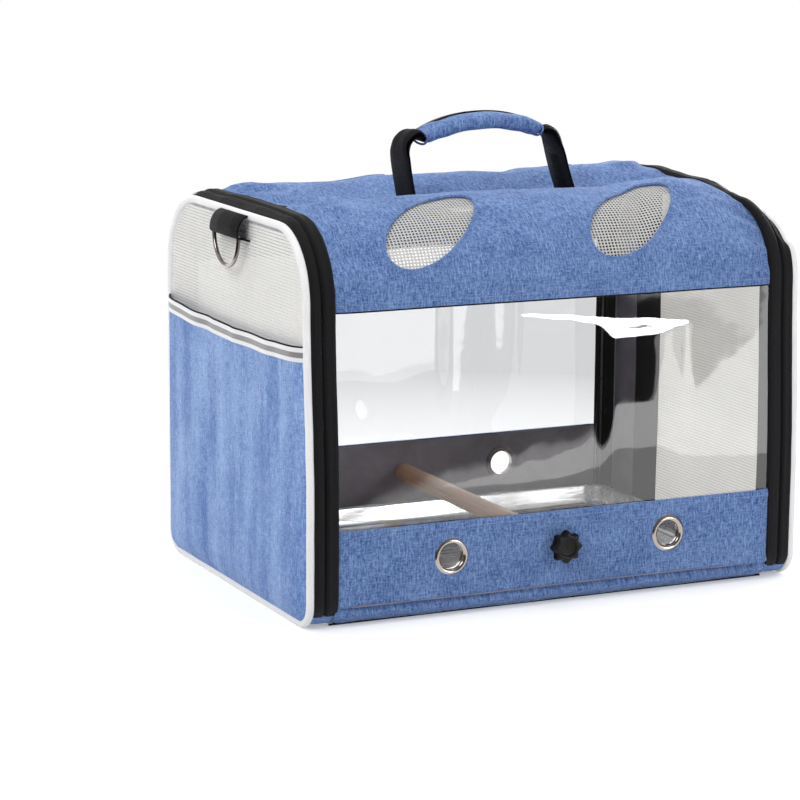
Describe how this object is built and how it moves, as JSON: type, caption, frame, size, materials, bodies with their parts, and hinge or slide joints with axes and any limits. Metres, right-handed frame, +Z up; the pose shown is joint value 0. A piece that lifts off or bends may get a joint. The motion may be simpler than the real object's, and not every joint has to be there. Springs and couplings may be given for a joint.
{
  "type": "bird travel carrier",
  "caption": "Soft-sided small bird travel carrier with zip-open mesh ends, clear front and rear windows, perch, tray, vents and padded top handle.",
  "frame": {"origin": "on the floor under the middle of the carrier, the centre of the bottom of its bounding box", "axes": "+X along the length towards the end without a pocket, -Y out of the front window, +Z up"},
  "size_m": [0.4382, 0.308, 0.3595],
  "materials": {
    "denim": "heather woven polyester",
    "denim_light": "heather woven polyester, lit side",
    "grip_denim": "heather woven polyester over foam",
    "board": "flat board",
    "lining": "grey woven lining",
    "clear_sheet": "clear flexible PVC",
    "binding": "black grosgrain",
    "mesh": "white hexagonal mesh",
    "zip_tape": "black zipper tape",
    "zip_coil": "black nylon coil",
    "spring_wire": "spring steel",
    "nickel": "polished nickel",
    "perch_wood": "turned hardwood, unfinished",
    "insert_brass": "turned",
    "webbing": "black woven webbing",
    "tray_steel": "polished stainless steel",
    "knob_plastic": "moulded",
    "stud_steel": "zinc plated",
    "piping": "white woven piping",
    "reflective": "grey reflective tape with white edges",
    "slider_metal": "black enamel"
  },
  "bodies": {
    "carrier": {"front_band": "denim", "rear_band": "denim", "front_top_panel": "denim", "rear_top_panel": "denim", "bottom_panel": "denim", "left_hinge_strip": "denim", "right_hinge_strip": "denim", "base_board": "board", "front_band_lining": "lining", "rear_band_lining": "lining", "front_window": "clear_sheet", "rear_window": "clear_sheet", "front_window_binding": "binding", "rear_window_binding": "binding", "front_bottom_welt": "binding", "rear_bottom_welt": "binding", "top_seam_tape": "binding", "front_left_vent": "mesh", "front_right_vent": "mesh", "rear_left_vent": "mesh", "rear_right_vent": "mesh", "left_body_tape": "zip_tape", "right_body_tape": "zip_tape", "left_zip_coil": "zip_coil", "right_zip_coil": "zip_coil", "left_rim_wire": "spring_wire", "right_rim_wire": "spring_wire", "front_left_grommet": "nickel", "front_right_grommet": "nickel", "rear_left_grommet": "nickel", "rear_right_grommet": "nickel", "grommet_washers": "nickel", "perch_dowel": "perch_wood", "perch_inserts": "insert_brass", "handle_anchors": "webbing", "knob_washers": "knob_plastic"},
    "left_door": {"left_door_mesh": "mesh", "left_door_piping": "piping", "left_door_tape": "zip_tape", "left_pocket": "denim_light", "left_pocket_strip": "reflective", "left_ring_tab": "webbing"},
    "right_door": {"right_door_mesh": "mesh", "right_door_piping": "piping", "right_door_tape": "zip_tape", "right_ring_tab": "webbing"},
    "left_ring_body": {"left_ring": "nickel"},
    "right_ring_body": {"right_ring": "nickel"},
    "handle": {"handle_strap": "webbing", "handle_grip": "grip_denim"},
    "tray_body": {"tray": "tray_steel"},
    "front_knob_body": {"front_knob": "knob_plastic", "front_knob_stud": "stud_steel"},
    "rear_knob_body": {"rear_knob": "knob_plastic", "rear_knob_stud": "stud_steel"},
    "left_slider_body": {"left_slider": "slider_metal"},
    "left_pull_body": {"left_pull": "slider_metal"},
    "right_slider_body": {"right_slider": "slider_metal"},
    "right_pull_body": {"right_pull": "slider_metal"}
  },
  "joints": [
    {"name": "left_door_hinge", "type": "hinge", "parent": "carrier", "child": "left_door", "pos_m": [-0.2095, 0, 0], "axis": [0, -1, 0], "range_deg": [0, 84]},
    {"name": "right_door_hinge", "type": "hinge", "parent": "carrier", "child": "right_door", "pos_m": [0.2095, 0, 0], "axis": [0, 1, 0], "range_deg": [0, 84]},
    {"name": "left_ring_swing", "type": "hinge", "parent": "left_door", "child": "left_ring_body", "pos_m": [-0.2153, 0, 0.279], "axis": [0, 1, 0], "range_deg": [0, 115]},
    {"name": "right_ring_swing", "type": "hinge", "parent": "right_door", "child": "right_ring_body", "pos_m": [0.2153, 0, 0.279], "axis": [0, -1, 0], "range_deg": [0, 115]},
    {"name": "handle_flop", "type": "hinge", "parent": "carrier", "child": "handle", "pos_m": [0, 0, 0.312], "axis": [1, 0, 0], "range_deg": [-70, 70]},
    {"name": "tray_lift", "type": "slide", "parent": "carrier", "child": "tray_body", "axis": [0, 0, 1], "range_m": [0, 0.012]},
    {"name": "front_knob_turn", "type": "hinge", "parent": "carrier", "child": "front_knob_body", "pos_m": [0, -0.1415, 0.0465], "axis": [0, -1, 0], "continuous": true},
    {"name": "rear_knob_turn", "type": "hinge", "parent": "carrier", "child": "rear_knob_body", "pos_m": [0, 0.1415, 0.0465], "axis": [0, 1, 0], "continuous": true},
    {"name": "left_slider_run", "type": "slide", "parent": "carrier", "child": "left_slider_body", "axis": [0, 0, 1], "range_m": [0, 0.185]},
    {"name": "left_pull_swing", "type": "hinge", "parent": "left_slider_body", "child": "left_pull_body", "pos_m": [-0.195, 0.1463, 0.0358], "axis": [1, 0, 0], "range_deg": [0, 120]},
    {"name": "right_slider_run", "type": "slide", "parent": "carrier", "child": "right_slider_body", "axis": [0, 0, 1], "range_m": [0, 0.185]},
    {"name": "right_pull_swing", "type": "hinge", "parent": "right_slider_body", "child": "right_pull_body", "pos_m": [0.195, 0.1463, 0.0358], "axis": [1, 0, 0], "range_deg": [0, 120]}
  ]
}
